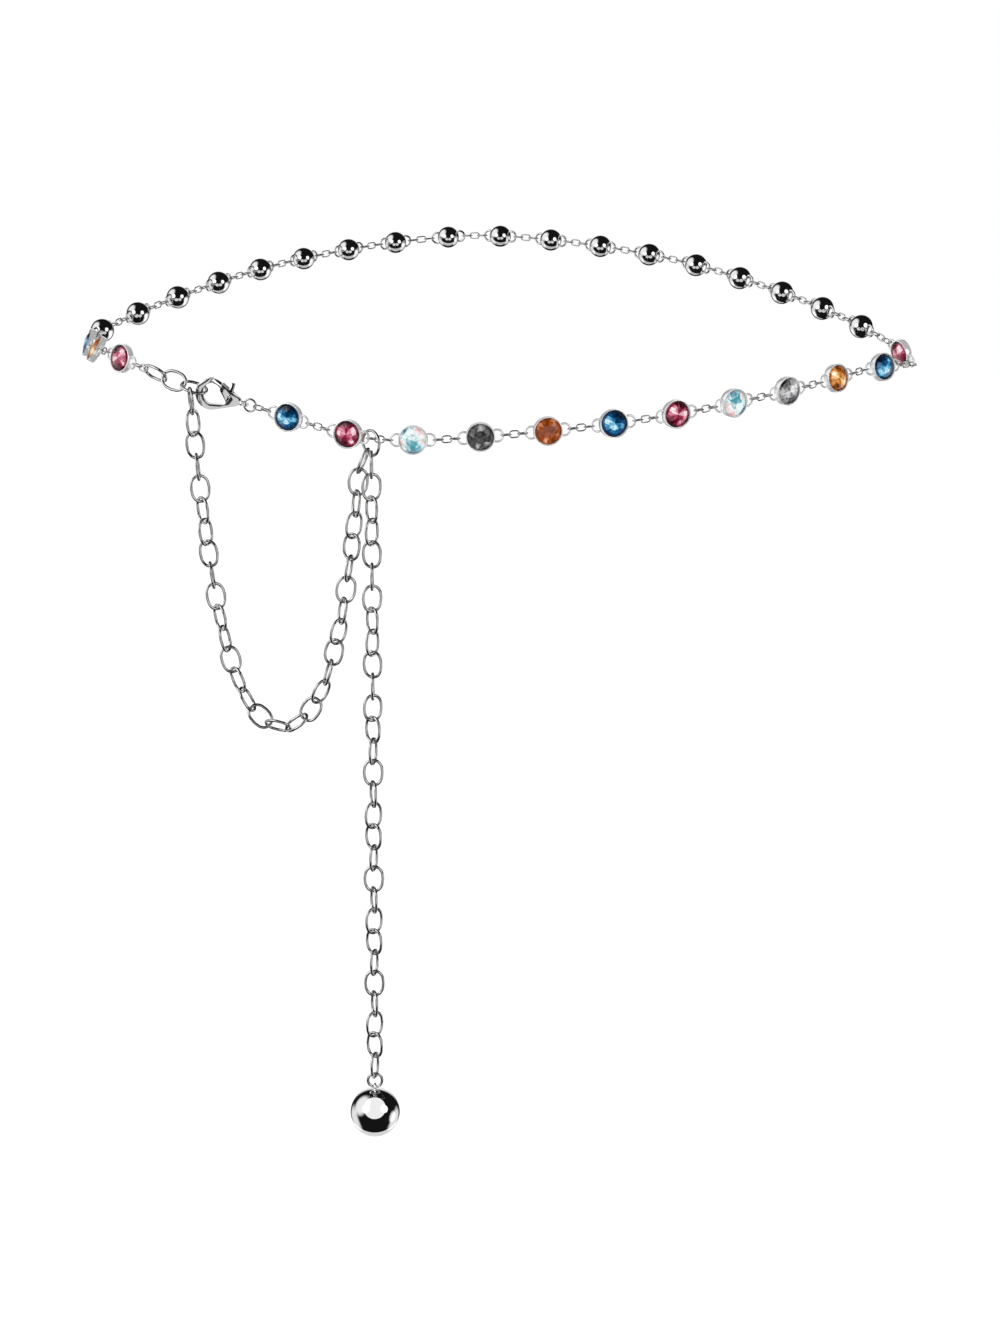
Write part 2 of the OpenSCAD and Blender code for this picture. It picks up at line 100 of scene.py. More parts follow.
def selectVerts(obj, test):
    bpy.ops.object.mode_set(mode="EDIT")
    bpy.ops.mesh.select_mode(type="VERT")
    bpy.ops.mesh.select_all(action="DESELECT")
    mesh = bmesh.from_edit_mesh(obj.data)
    for vert in mesh.verts:
        vert.select_set(test(vert.co))
    mesh.select_flush(True)
    bmesh.update_edit_mesh(obj.data)


def selectFaces(obj, test):
    bpy.ops.object.mode_set(mode="EDIT")
    bpy.ops.mesh.select_mode(type="FACE")
    bpy.ops.mesh.select_all(action="DESELECT")
    mesh = bmesh.from_edit_mesh(obj.data)
    mesh.normal_update()
    for face in mesh.faces:
        face.select_set(test(face))
    mesh.select_flush_mode()
    bmesh.update_edit_mesh(obj.data)


def leaveEdit():
    bpy.ops.object.mode_set(mode="OBJECT")


def applyAll(obj):
    makeActive(obj)
    for name in [m.name for m in obj.modifiers]:
        bpy.ops.object.modifier_apply(modifier=name)


def bevelEdges(obj, width, segments, angle=30):
    mod = obj.modifiers.new("rounding", "BEVEL")
    mod.width = width
    mod.segments = segments
    mod.limit_method = "ANGLE"
    mod.angle_limit = math.radians(angle)
    mod.harden_normals = False
    applyAll(obj)


def shadeSmooth(obj, angle=35):
    makeActive(obj)
    bpy.ops.object.shade_smooth_by_angle(angle=math.radians(angle))


def removeMaster(obj):
    bpy.data.objects.remove(obj)


def copyTo(master, name, place):
    mesh = master.data.copy()
    mesh.transform(place)
    mesh.name = name
    obj = bpy.data.objects.new(name, mesh)
    bpy.context.scene.collection.objects.link(obj)
    return obj


def joinAs(parts, name):
    deselectAll()
    for part in parts:
        part.select_set(True)
    bpy.context.view_layer.objects.active = parts[0]
    if len(parts) > 1:
        bpy.ops.object.join()
    parts[0].name = name
    parts[0].data.name = name
    return parts[0]


# Places that the frame gives: the loose solids of a node, each with its middle and its own axes

def looseSolids(nodeName):
    mesh = nodes[nodeName].data
    points = np.empty(len(mesh.vertices) * 3)
    mesh.vertices.foreach_get("co", points)
    points = points.reshape(-1, 3)
    mesh.calc_loop_triangles()
    tris = np.empty(len(mesh.loop_triangles) * 3, dtype=np.int64)
    mesh.loop_triangles.foreach_get("vertices", tris)
    keys, merged = np.unique(np.round(points / micron).astype(np.int64), axis=0, return_inverse=True)
    tris = merged.ravel()[tris].reshape(-1, 3)
    points = keys * micron
    label = np.arange(len(points))
    while True:
        low = label[tris].min(axis=1)
        before = label.copy()
        for corner in range(3):
            np.minimum.at(label, tris[:, corner], low)
        label = label[label]
        if (label == before).all():
            break
    owner = label[tris[:, 0]]
    return [solidPlace(points, tris[owner == part]) for part in np.unique(owner)]


def solidPlace(points, tris):
    a, b, c = (points[tris[:, k]] for k in range(3))
    area = np.linalg.norm(np.cross(b - a, c - a), axis=1) / 2
    middle = (area[:, None] * (a + b + c) / 3).sum(0) / area.sum()
    a, b, c = a - middle, b - middle, c - middle
    spread = np.zeros((3, 3))
    for p in (a, b, c, a + b + c):
        spread += (area[:, None, None] * p[:, :, None] * p[:, None, :]).sum(0) / 12
    size, axes = np.linalg.eigh(spread)
    longWay, wideWay, flatWay = axes[:, 2], axes[:, 1], axes[:, 0]
    if np.dot(flatWay[:2], middle[:2]) < 0:
        flatWay = -flatWay
    if longWay[0] < 0:
        longWay = -longWay
    wideWay = np.cross(flatWay, longWay)
    if wideWay[2] < 0:
        wideWay, longWay = -wideWay, -longWay
    used = points[np.unique(tris)] - middle
    reach = [float(np.ptp(used @ way)) for way in (longWay, wideWay, flatWay)]
    turn = Matrix([[longWay[i], wideWay[i], flatWay[i]] for i in range(3)]).to_4x4()
    return {"place": Matrix.Translation(Vector(middle)) @ turn, "reach": reach, "middle": middle}


# Materials

def addNode(tree, kind, at, **values):
    node = tree.nodes.new(kind)
    node.location = at
    for key, value in values.items():
        setattr(node, key, value)
    return node


# Fine polishing marks and faint smudges, for every metal piece
polishSpec = {"smudgeScale": 260, "smudgeDetail": 3, "markDetail": 4, "markTwist": 0.6, "markHeight": 0.02 * mm,
              "dullest": 0.93, "brightest": 1.0}


def makePolishGroup(spec):
    group = bpy.data.node_groups.new("polishMarks", "ShaderNodeTree")
    for name, value in {"Roughness": 0.08, "Smudge": 0.06, "Mark Scale": 900, "Mark Depth": 0.05}.items():
        socket = group.interface.new_socket(name, in_out="INPUT", socket_type="NodeSocketFloat")
        socket.default_value = value
    group.interface.new_socket("Roughness", in_out="OUTPUT", socket_type="NodeSocketFloat")
    group.interface.new_socket("Tone", in_out="OUTPUT", socket_type="NodeSocketFloat")
    group.interface.new_socket("Normal", in_out="OUTPUT", socket_type="NodeSocketVector")
    inside = addNode(group, "NodeGroupInput", (-900, 0))
    outside = addNode(group, "NodeGroupOutput", (500, 0))
    coords = addNode(group, "ShaderNodeTexCoord", (-900, -300))
    smudge = addNode(group, "ShaderNodeTexNoise", (-600, 200))
    smudge.inputs["Scale"].default_value = spec["smudgeScale"]
    smudge.inputs["Detail"].default_value = spec["smudgeDetail"]
    marks = addNode(group, "ShaderNodeTexNoise", (-600, -200))
    marks.inputs["Detail"].default_value = spec["markDetail"]
    marks.inputs["Distortion"].default_value = spec["markTwist"]
    spread = addNode(group, "ShaderNodeMath", (-350, 200), operation="MULTIPLY")
    total = addNode(group, "ShaderNodeMath", (-100, 200), operation="ADD")
    tone = addNode(group, "ShaderNodeMapRange", (-100, 20))
    tone.inputs["To Min"].default_value = spec["dullest"]
    tone.inputs["To Max"].default_value = spec["brightest"]
    bump = addNode(group, "ShaderNodeBump", (100, -200))
    bump.inputs["Distance"].default_value = spec["markHeight"]
    link = group.links.new
    link(coords.outputs["Object"], smudge.inputs["Vector"])
    link(coords.outputs["Object"], marks.inputs["Vector"])
    link(inside.outputs["Mark Scale"], marks.inputs["Scale"])
    link(smudge.outputs["Fac"], spread.inputs[0])
    link(inside.outputs["Smudge"], spread.inputs[1])
    link(spread.outputs[0], total.inputs[0])
    link(inside.outputs["Roughness"], total.inputs[1])
    link(smudge.outputs["Fac"], tone.inputs["Value"])
    link(inside.outputs["Mark Depth"], bump.inputs["Strength"])
    link(marks.outputs["Fac"], bump.inputs["Height"])
    link(total.outputs[0], outside.inputs["Roughness"])
    link(tone.outputs["Result"], outside.inputs["Tone"])
    link(bump.outputs["Normal"], outside.inputs["Normal"])
    return group


polishMarks = makePolishGroup(polishSpec)


def makeChrome(name, look):
    mat = bpy.data.materials.new(name)
    mat.use_nodes = True
    tree = mat.node_tree
    shader = tree.nodes["Principled BSDF"]
    shader.inputs["Metallic"].default_value = look["metallic"]
    marks = addNode(tree, "ShaderNodeGroup", (-500, 0), node_tree=polishMarks)
    for socket, key in (("Roughness", "roughness"), ("Smudge", "smudge"), ("Mark Scale", "markScale"),
                        ("Mark Depth", "markDepth")):
        marks.inputs[socket].default_value = look[key]
    tint = addNode(tree, "ShaderNodeMix", (-250, 200), data_type="RGBA", blend_type="MULTIPLY")
    tint.inputs["Factor"].default_value = 1
    tint.inputs[6].default_value = (*look["colour"], 1)
    tree.links.new(marks.outputs["Tone"], tint.inputs[7])
    tree.links.new(tint.outputs[2], shader.inputs["Base Color"])
    tree.links.new(marks.outputs["Roughness"], shader.inputs["Roughness"])
    tree.links.new(marks.outputs["Normal"], shader.inputs["Normal"])
    return mat


# Chrome finishes. The settings are paler and half diffuse, a painted sheen in place of the bright reflections on
# their thin walls, and the links are darker, painted shade that keeps them from washing out to white
chromeLooks = {
    "ball": {"colour": (0.9, 0.9, 0.905), "metallic": 1.0, "roughness": 0.02, "smudge": 0.03,
             "markScale": 700, "markDepth": 0.02},
    # painted sheen: pale, half-diffuse setting walls in place of bright reflections
    "setting": {"colour": (0.95, 0.95, 0.96), "metallic": 0.5, "roughness": 0.08, "smudge": 0.1,
                "markScale": 1500, "markDepth": 0.12},
    # painted shade: darker chrome so the links don't wash out
    "link": {"colour": (0.7, 0.695, 0.69), "metallic": 1.0, "roughness": 0.06, "smudge": 0.1,
             "markScale": 1300, "markDepth": 0.1},
    "clasp": {"colour": (0.86, 0.86, 0.87), "metallic": 1.0, "roughness": 0.05, "smudge": 0.08,
              "markScale": 1000, "markDepth": 0.08},
}
chrome = {name: makeChrome(name + "Chrome", look) for name, look in chromeLooks.items()}

# Crystals: tones from dark to bright, the resting tone, and painted flashes, painted highlights and reflections on
# the facets, as across, up, reach and tone
crystalLooks = {
    "blue": {"tones": [(0.0, (0.002, 0.007, 0.02)), (0.25, (0.003, 0.03, 0.09)), (0.5, (0.007, 0.1, 0.26)),
                       (0.75, (0.1, 0.42, 0.64)), (1.0, (0.66, 0.9, 0.98))],
             "rest": 0.27, "rim": 0.2,
             "paintedFlashes": [(0.1, 0.65, 0.5, 0.02), (0.1, -0.75, 0.35, 0.4), (-0.5, -0.05, 0.42, 1.0),
                         (0.05, -0.22, 0.3, 0.95), (0.55, 0.05, 0.28, 0.8)]},
    "rose": {"tones": [(0.0, (0.035, 0.002, 0.008)), (0.25, (0.13, 0.008, 0.026)), (0.5, (0.36, 0.03, 0.08)),
                       (0.75, (0.72, 0.24, 0.34)), (1.0, (1.0, 0.88, 0.91))],
             "rest": 0.3, "rim": 0.18,
             "paintedFlashes": [(0.0, 0.75, 0.45, 0.05), (0.0, -0.75, 0.4, 0.12), (-0.48, 0.1, 0.36, 1.1),
                         (0.42, 0.3, 0.32, 1.05), (0.42, -0.45, 0.25, 0.9), (-0.02, 0.05, 0.14, 0.2)]},
    "aurora": {"tones": [(0.0, (0.3, 0.3, 0.38)), (0.25, (0.02, 0.3, 0.37)), (0.5, (0.88, 0.97, 0.97)),
                         (0.75, (0.86, 0.45, 0.5)), (1.0, (0.42, 0.8, 0.55))],
               "rest": 0.46, "rim": 0.0, "reflectionFleck": 0.055,
               "paintedFlashes": [(-0.2, 0.45, 0.4, 0.5), (0.5, 0.7, 0.28, 0.76), (-0.6, 0.75, 0.22, 0.05),
                           (0.0, -0.3, 0.5, 0.22), (0.8, 0.0, 0.2, 0.98), (0.0, -0.95, 0.3, 0.02),
                           (-0.8, -0.25, 0.22, 0.95)]},
    "smoke": {"tones": [(0.0, (0.006, 0.006, 0.006)), (0.3, (0.028, 0.026, 0.027)), (0.6, (0.1, 0.095, 0.1)),
                        (0.8, (0.32, 0.315, 0.32)), (1.0, (0.85, 0.85, 0.85))],
              "rest": 0.46, "rim": 0.0,
              "paintedFlashes": [(0.0, 0.1, 0.3, 0.2), (0.05, 0.7, 0.25, 0.9), (-0.25, -0.6, 0.25, 0.88),
                          (0.4, -0.55, 0.18, 0.8), (-0.65, 0.2, 0.18, 0.7)]},
    "topaz": {"tones": [(0.0, (0.02, 0.003, 0.0)), (0.3, (0.17, 0.027, 0.003)), (0.6, (0.34, 0.07, 0.009)),
                        (0.8, (0.6, 0.22, 0.1)), (1.0, (1.0, 0.78, 0.62))],
              "rest": 0.42, "rim": 0.0,
              "paintedFlashes": [(0.05, 0.15, 0.26, 0.2), (-0.6, 0.5, 0.22, 0.84), (0.5, 0.65, 0.22, 0.86),
                          (-0.3, -0.7, 0.26, 0.95), (0.65, -0.4, 0.2, 0.84)]},
    "clear": {"tones": [(0.0, (0.008, 0.008, 0.009)), (0.25, (0.1, 0.1, 0.104)), (0.5, (0.36, 0.36, 0.37)),
                        (0.75, (0.85, 0.85, 0.86)), (1.0, (1.0, 1.0, 1.0))],
              "rest": 0.5, "rim": 0.1,
              "paintedFlashes": [(0.05, 0.0, 0.36, 1.1), (-0.3, 0.65, 0.42, 0.0), (0.2, -0.7, 0.42, 0.02),
                          (0.7, 0.35, 0.25, 0.95)]},
    "amber": {"tones": [(0.0, (0.04, 0.009, 0.001)), (0.25, (0.24, 0.055, 0.006)), (0.5, (0.55, 0.18, 0.025)),
                        (0.75, (0.85, 0.5, 0.17)), (1.0, (1.0, 0.9, 0.68))],
              "rest": 0.48, "rim": 0.15,
              "paintedFlashes": [(0.1, 0.7, 0.28, 0.08), (-0.2, -0.65, 0.28, 0.15), (0.65, 0.3, 0.22, 0.2),
                          (-0.35, 0.35, 0.3, 1.05), (0.4, -0.35, 0.32, 1.0)]},
}


# What all crystals share: their surface, a painted glow, where the painted shade at the rim begins, and how far the
# flecks of painted reflection and the facets stray in tone
crystalSurface = {"roughness": 0.04, "ior": 1.55, "coat": 0.25, "coatRoughness": 0.02, "paintedGlow": 0.12, "rimFrom": 0.6,
                  "cells": 5.0, "reflectionFleck": 0.1, "facetLightSpread": 1.2}


def makeCrystalMaterial(name, look, surface):
    # Tone of each cut facet as painted highlights, with fine flecks of painted reflection, painted shade darker
    # towards the rim, and a painted glow of the same colours, under a polished surface
    mat = bpy.data.materials.new(name + "Crystal")
    mat.use_nodes = True
    tree = mat.node_tree
    link = tree.links.new
    shader = tree.nodes["Principled BSDF"]
    shader.inputs["Roughness"].default_value = surface["roughness"]
    shader.inputs["IOR"].default_value = surface["ior"]
    shader.inputs["Coat Weight"].default_value = surface["coat"]
    shader.inputs["Coat Roughness"].default_value = surface["coatRoughness"]
    # Painted glow: the stone gives off its own colours as light, though it is no lamp
    shader.inputs["Emission Strength"].default_value = surface["paintedGlow"]
    uv = addNode(tree, "ShaderNodeUVMap", (-1400, 0), uv_map="faceMap")
    facetLight = addNode(tree, "ShaderNodeAttribute", (-1400, -260), attribute_name="facetLight")
    parts = addNode(tree, "ShaderNodeSeparateXYZ", (-1200, -260))
    radial = addNode(tree, "ShaderNodeVectorMath", (-1150, 150), operation="LENGTH")
    # Painted shade: darker towards the rim of the stone
    rim = addNode(tree, "ShaderNodeMapRange", (-950, 150), interpolation_type="SMOOTHSTEP")
    rim.inputs["From Min"].default_value = surface["rimFrom"]
    rim.inputs["From Max"].default_value = 1.0
    rim.inputs["To Max"].default_value = -look["rim"]
    # Painted reflections: flecks of lighter and darker tone across the stone
    cells = addNode(tree, "ShaderNodeTexVoronoi", (-1150, -60), voronoi_dimensions="4D", feature="F1")
    cells.inputs["Scale"].default_value = surface["cells"]
    pick = addNode(tree, "ShaderNodeSeparateColor", (-950, -60))
    reflectionFleck = addNode(tree, "ShaderNodeMapRange", (-750, -60))
    reach = look.get("reflectionFleck", surface["reflectionFleck"])
    reflectionFleck.inputs["To Min"].default_value = -reach
    reflectionFleck.inputs["To Max"].default_value = reach
    inner = addNode(tree, "ShaderNodeMath", (-550, -60), operation="ADD")
    tone = addNode(tree, "ShaderNodeMath", (-400, 0), operation="ADD", use_clamp=True)
    ramp = addNode(tree, "ShaderNodeValToRGB", (-250, 0))
    ramp.color_ramp.interpolation = "LINEAR"
    stops = ramp.color_ramp.elements
    while len(stops) < len(look["tones"]):
        stops.new(0.5)
    for stop, (at, colour) in zip(stops, look["tones"]):
        stop.position = at
        stop.color = (*colour, 1)
    link(uv.outputs["UV"], radial.inputs[0])
    link(radial.outputs["Value"], rim.inputs["Value"])
    link(facetLight.outputs["Vector"], parts.inputs[0])
    link(uv.outputs["UV"], cells.inputs["Vector"])
    link(parts.outputs["Y"], cells.inputs["W"])
    link(cells.outputs["Color"], pick.inputs["Color"])
    link(pick.outputs["Red"], reflectionFleck.inputs["Value"])
    link(parts.outputs["X"], inner.inputs[0])
    link(reflectionFleck.outputs["Result"], inner.inputs[1])
    link(inner.outputs[0], tone.inputs[0])
    link(rim.outputs["Result"], tone.inputs[1])
    link(tone.outputs[0], ramp.inputs["Fac"])
    link(ramp.outputs["Color"], shader.inputs["Base Color"])
    # painted glow of the stone's colours
    link(ramp.outputs["Color"], shader.inputs["Emission Color"])
    return mat


crystalMaterials = {name: makeCrystalMaterial(name, look, crystalSurface) for name, look in crystalLooks.items()}
print("materials made")


# Crystal with a table and three rows of facets on each face, its axis along Z
crystalSpec = {"radius": 3.98 * mm, "girdle": 0.43 * mm, "crown": 1.29 * mm, "table": 1.9 * mm,
               "breakRadius": 3.05 * mm, "breakShare": 0.6, "sides": 16, "near": 0.01 * mm}


def modelCrystal(spec):
    bpy.ops.mesh.primitive_cylinder_add(vertices=spec["sides"], radius=spec["radius"], depth=spec["girdle"])
    gem = bpy.context.object
    gem.name = "crystalMaster"
    step = math.pi / spec["sides"]
    rows = ((spec["breakRadius"], spec["breakShare"]), (spec["table"], 1 - spec["breakShare"]))
    for side in (1, -1):
        level = side * spec["girdle"] / 2
        radius = spec["radius"]
        for newRadius, share in rows:
            selectFaces(gem, lambda f: f.normal.z * side > 0.95
                        and abs(f.calc_center_median().z - level) < spec["near"])
            rise = side * spec["crown"] * share
            bpy.ops.mesh.extrude_region_move(TRANSFORM_OT_translate={"value": (0, 0, rise)})
            level += rise
            narrow = newRadius / radius
            bpy.ops.transform.resize(value=(narrow, narrow, 1), center_override=(0, 0, level))
            bpy.ops.transform.rotate(value=step, orient_axis="Z", center_override=(0, 0, level))
            radius = newRadius
    selectFaces(gem, lambda f: len(f.verts) == 4 and abs(f.normal.z) > 0.02)
    bpy.ops.mesh.quads_convert_to_tris(quad_method="SHORTEST_DIAGONAL")
    selectFaces(gem, lambda f: len(f.verts) == spec["sides"])
    bpy.ops.mesh.poke()
    leaveEdit()
    return gem


# Painted highlights: each facet's tone is drawn towards the painted flashes near it, with a random share of painted
# reflection
def paintedFacetTone(look, across, up, rng):
    tone = look["rest"]
    for flashAcross, flashUp, reach, flash in look["paintedFlashes"]:
        near = math.exp(-((across - flashAcross) ** 2 + (up - flashUp) ** 2) / reach ** 2)
        tone += near * (flash - tone)
    # A random share of painted reflection on each facet
    spread = crystalSurface["facetLightSpread"]
    tone += rng.uniform(-spread, spread) * look.get("reflectionFleck", crystalSurface["reflectionFleck"])
    return min(1.0, max(0.0, tone))


def finishCrystal(gem, master, look, turn, seed):
    # Face map across the stone, and one painted highlight tone for each facet
    rng = random.Random(seed)
    mesh = gem.data
    uv = mesh.uv_layers.new(name="faceMap")
    source = master.data
    for loop in source.loops:
        x, y, z = source.vertices[loop.vertex_index].co / crystalSpec["radius"]
        uv.data[loop.index].uv = (x, y)
    tones = mesh.attributes.new("facetLight", "FLOAT_VECTOR", "FACE")
    offset = rng.uniform(0, 9)
    cos, sin = math.cos(turn), math.sin(turn)
    for face in source.polygons:
        x, y, z = face.center / crystalSpec["radius"]
        tone = paintedFacetTone(look, x * cos - y * sin, x * sin + y * cos, rng)
        tones.data[face.index].vector = (tone, offset, 0)


# Channel round a crystal, with a side loop at each end
settingSpec = {"outer": 4.27 * mm, "seat": 4.05 * mm, "lip": 3.9 * mm, "depth": 1.98 * mm, "rounding": 0.06 * mm,
               "around": 64, "seatCuts": 3, "seatShare": 0.4, "seatStretch": 1.1, "near": 0.02 * mm, "smooth": 40,
               "loopAt": 4.78 * mm, "loopRadius": 1.75 * mm, "wire": 0.345 * mm, "cut": 4.13 * mm,
               "loopAround": 36, "loopSides": 14}


def modelChannel(spec):
    bpy.ops.mesh.primitive_cylinder_add(vertices=spec["around"], radius=spec["outer"], depth=spec["depth"])
    ring = bpy.context.object
    selectFaces(ring, lambda f: abs(f.normal.z) > 0.9)
    bpy.ops.mesh.inset(thickness=spec["outer"] - spec["lip"])
    bpy.ops.mesh.delete(type="FACE")
    bpy.ops.mesh.select_mode(type="EDGE")
    bpy.ops.mesh.select_all(action="DESELECT")
    bpy.ops.mesh.select_non_manifold(extend=False)
    bpy.ops.mesh.bridge_edge_loops(number_cuts=spec["seatCuts"])
    seat = spec["seat"] / spec["lip"]
    selectVerts(ring, lambda co: math.hypot(co.x, co.y) < spec["lip"] + spec["near"]
                and abs(co.z) < spec["depth"] * spec["seatShare"])
    bpy.ops.transform.resize(value=(seat, seat, spec["seatStretch"]), center_override=(0, 0, 0))
    leaveEdit()
    bevelEdges(ring, spec["rounding"], 2, spec["smooth"])
    return ring


def modelSideLoops(spec, upright):
    # A wire ring, open where it meets the wall of the channel or the ball, and the same at the other end
    bpy.ops.mesh.primitive_torus_add(major_radius=spec["loopRadius"], minor_radius=spec["wire"],
                                     major_segments=spec["loopAround"], minor_segments=spec["loopSides"])
    loop = bpy.context.object
    selectVerts(loop, lambda co: True)
    bpy.ops.transform.translate(value=(spec["loopAt"], 0, 0))
    selectVerts(loop, lambda co: (math.hypot(co.x, co.y) if upright else co.length) < spec["cut"])
    bpy.ops.mesh.delete(type="VERT")
    bpy.ops.mesh.select_all(action="DESELECT")
    bpy.ops.mesh.select_mode(type="EDGE")
    bpy.ops.mesh.select_non_manifold(extend=False)
    bpy.ops.mesh.edge_face_add()
    leaveEdit()
    other = copyTo(loop, "otherLoop", Matrix.Rotation(math.pi, 4, "Z"))
    return [loop, other]


def modelSetting(spec):
    setting = joinAs([modelChannel(spec)] + modelSideLoops(spec, True), "settingMaster")
    shadeSmooth(setting, spec["smooth"])
    return setting


# Mirror ball with a side loop at each end
ballSpec = {"radius": 3.69 * mm, "around": 48, "rings": 24, "smooth": 60, "loopAt": 4.1 * mm,
            "loopRadius": 1.75 * mm, "wire": 0.345 * mm, "cut": 3.5 * mm, "loopAround": 36, "loopSides": 14}


def modelBall(spec):
    bpy.ops.mesh.primitive_uv_sphere_add(segments=spec["around"], ring_count=spec["rings"], radius=spec["radius"])
    ball = bpy.context.object
    ball = joinAs([ball] + modelSideLoops(spec, False), "ballMaster")
    shadeSmooth(ball, spec["smooth"])
    return ball


# Oval links, long side along X. Squareness is 2 for a plain oval, and more for fuller shoulders
longSpec = {"length": 8.48 * mm, "width": 6.28 * mm, "wire": 0.88 * mm, "around": 40, "sides": 14,
            "squareness": 2.25}
smallSpec = {"length": 3.3 * mm, "width": 2.38 * mm, "wire": 0.43 * mm, "around": 20, "sides": 10}


def modelLink(spec):
    radius = (spec["width"] - spec["wire"]) / 2
    bpy.ops.mesh.primitive_torus_add(major_radius=radius, minor_radius=spec["wire"] / 2,
                                     major_segments=spec["around"], minor_segments=spec["sides"])
    ring = bpy.context.object
    for side in (1, -1):
        selectVerts(ring, lambda co: co.x * side > 1e-7)
        bpy.ops.transform.translate(value=(side * (spec["length"] - spec["width"]) / 2, 0, 0))
    leaveEdit()
    if spec.get("squareness"):
        roundOff(ring, spec, radius)
    shadeSmooth(ring, 60)
    return ring


def roundOff(ring, spec, radius):
    # Straight sides bowed out of the wire's own middle line, so the link is an oval
    longReach = radius + (spec["length"] - spec["width"]) / 2
    power = 2 / spec["squareness"]
    for index, vert in enumerate(ring.data.vertices):
        angle = 2 * math.pi * (index // spec["sides"]) / spec["around"]
        across, up = math.cos(angle), math.sin(angle)
        middle = Vector((radius * across + math.copysign(longReach - radius, across) * (abs(across) > 1e-6),
                         radius * up, 0))
        turn = math.atan2(middle.y / radius, middle.x / longReach)
        oval = Vector((math.copysign(abs(math.cos(turn)) ** power, math.cos(turn)) * longReach,
                       math.copysign(abs(math.sin(turn)) ** power, math.sin(turn)) * radius, 0))
        vert.co += oval - middle


def modelRing(outer, wire):
    return modelLink({"length": outer, "width": outer, "wire": wire, "around": 48, "sides": 16})


def stretched(master, extra):
    # The same link, longer by this much
    mesh = master.data.copy()
    for vert in mesh.vertices:
        if abs(vert.co.x) > 1e-7:
            vert.co.x += math.copysign(extra / 2, vert.co.x)
    return mesh


def dressChain(nodeName, pieceName, master, spec, material):
    parts = []
    for solid in looseSolids(nodeName):
        mesh = stretched(master, solid["reach"][0] - spec["length"] - skin)
        mesh.transform(solid["place"])
        part = bpy.data.objects.new(pieceName, mesh)
        bpy.context.scene.collection.objects.link(part)
        parts.append(part)
    count = len(parts)
    chain = joinAs(parts, pieceName)
    finishPiece(chain, nodeName, "chain", material)
    print(pieceName, count, "links")


def finishPiece(piece, nodeName, body, material):
    piece.data.materials.clear()
    piece.data.materials.append(material)
    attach(piece, body)
    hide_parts(nodeName)


crystalMaster = modelCrystal(crystalSpec)
settingMaster = modelSetting(settingSpec)
ballMaster = modelBall(ballSpec)
longMaster = modelLink(longSpec)
smallMaster = modelLink(smallSpec)
print("masters modelled")

# Crystals in their settings, from the first one right of the clasp
stones = ["blue", "rose", "aurora", "smoke", "topaz", "blue", "rose", "aurora", "clear", "amber", "blue", "rose",
          "blue", "amber", "rose"]
# The turns below move each stone's painted highlights
stoneTurns = {6: 0.5, 7: 0.6, 8: 3.0, 11: -0.6, 12: 1.2, 15: -0.5}  # radians that a stone's flashes are turned
for number, colour in enumerate(stones, 1):
    place = looseSolids(f"setting_{number:02d}")[0]["place"]
    setting = copyTo(settingMaster, f"setting{number:02d}", place)
    finishPiece(setting, f"setting_{number:02d}", "chain", chrome["setting"])
    gem = copyTo(crystalMaster, f"crystal{number:02d}", place)
    finishCrystal(gem, crystalMaster, crystalLooks[colour], stoneTurns.get(number, 0), seed=number)
    finishPiece(gem, f"crystal_{number:02d}", "chain", crystalMaterials[colour])
print("crystals set")

for number in range(1, 19):
    ball = copyTo(ballMaster, f"ball{number:02d}", looseSolids(f"ball_{number:02d}")[0]["place"])
    finishPiece(ball, f"ball_{number:02d}", "chain", chrome["ball"])
print("balls placed")

dressChain("front_links", "frontLinks", smallMaster, smallSpec, chrome["link"])
dressChain("back_links", "backLinks", smallMaster, smallSpec, chrome["link"])
dressChain("lead_links", "leadLinks", longMaster, longSpec, chrome["link"])
dressChain("swag_chain", "swagChain", longMaster, longSpec, chrome["link"])
dressChain("drop_chain", "dropChain", longMaster, longSpec, chrome["link"])

# Plain rings
ringSpecs = {
    "jump_ring": {"name": "jumpRing", "outer": 8.18 * mm, "wire": 0.88 * mm},
    "clasp_ring": {"name": "claspRing", "outer": 4.18 * mm, "wire": 0.58 * mm},
    "drop_ring": {"name": "dropRing", "outer": 5.18 * mm, "wire": 0.88 * mm},
}
for nodeName, spec in ringSpecs.items():
    master = modelRing(spec["outer"], spec["wire"])
    ring = copyTo(master, spec["name"], looseSolids(nodeName)[0]["place"])
    finishPiece(ring, nodeName, "chain", chrome["link"])
    removeMaster(master)
print("rings placed")


# Clasp: the frame's shapes with their edges rounded over, as a cast and tumbled clasp has them
def roundedCopy(nodeName, pieceName, rounding, segments):
    piece = copyTo(nodes[nodeName], pieceName, Matrix.Identity(4))
    makeActive(piece)
    bpy.ops.object.mode_set(mode="EDIT")
    bpy.ops.mesh.select_mode(type="VERT")
    bpy.ops.mesh.select_all(action="SELECT")
    bpy.ops.mesh.remove_doubles(threshold=micron)
    bpy.ops.mesh.dissolve_limited(angle_limit=math.radians(2))
    leaveEdit()
    bevelEdges(piece, rounding, segments, 35)
    shadeSmooth(piece, 40)
    return piece


claspSpecs = {
    "clasp_body": {"name": "claspBody", "body": "chain", "rounding": 0.5 * mm, "segments": 4},
    "clasp_lever": {"name": "claspLever", "body": "clasp_lever", "rounding": 0.12 * mm, "segments": 2},
    "clasp_pin": {"name": "claspPin", "body": "chain", "rounding": 0.05 * mm, "segments": 2},
}
for nodeName, spec in claspSpecs.items():
    piece = roundedCopy(nodeName, spec["name"], spec["rounding"], spec["segments"])
    finishPiece(piece, nodeName, spec["body"], chrome["clasp"])
print("clasp rounded")

# Drop ball with its eye
dropSpec = {"radius": 7.49 * mm, "around": 96, "rings": 48, "smooth": 60, "above": 0.01 * mm,
            "eyeRadius": 0.95 * mm, "eyeWire": 0.345 * mm, "eyeAround": 32, "eyeSides": 14}


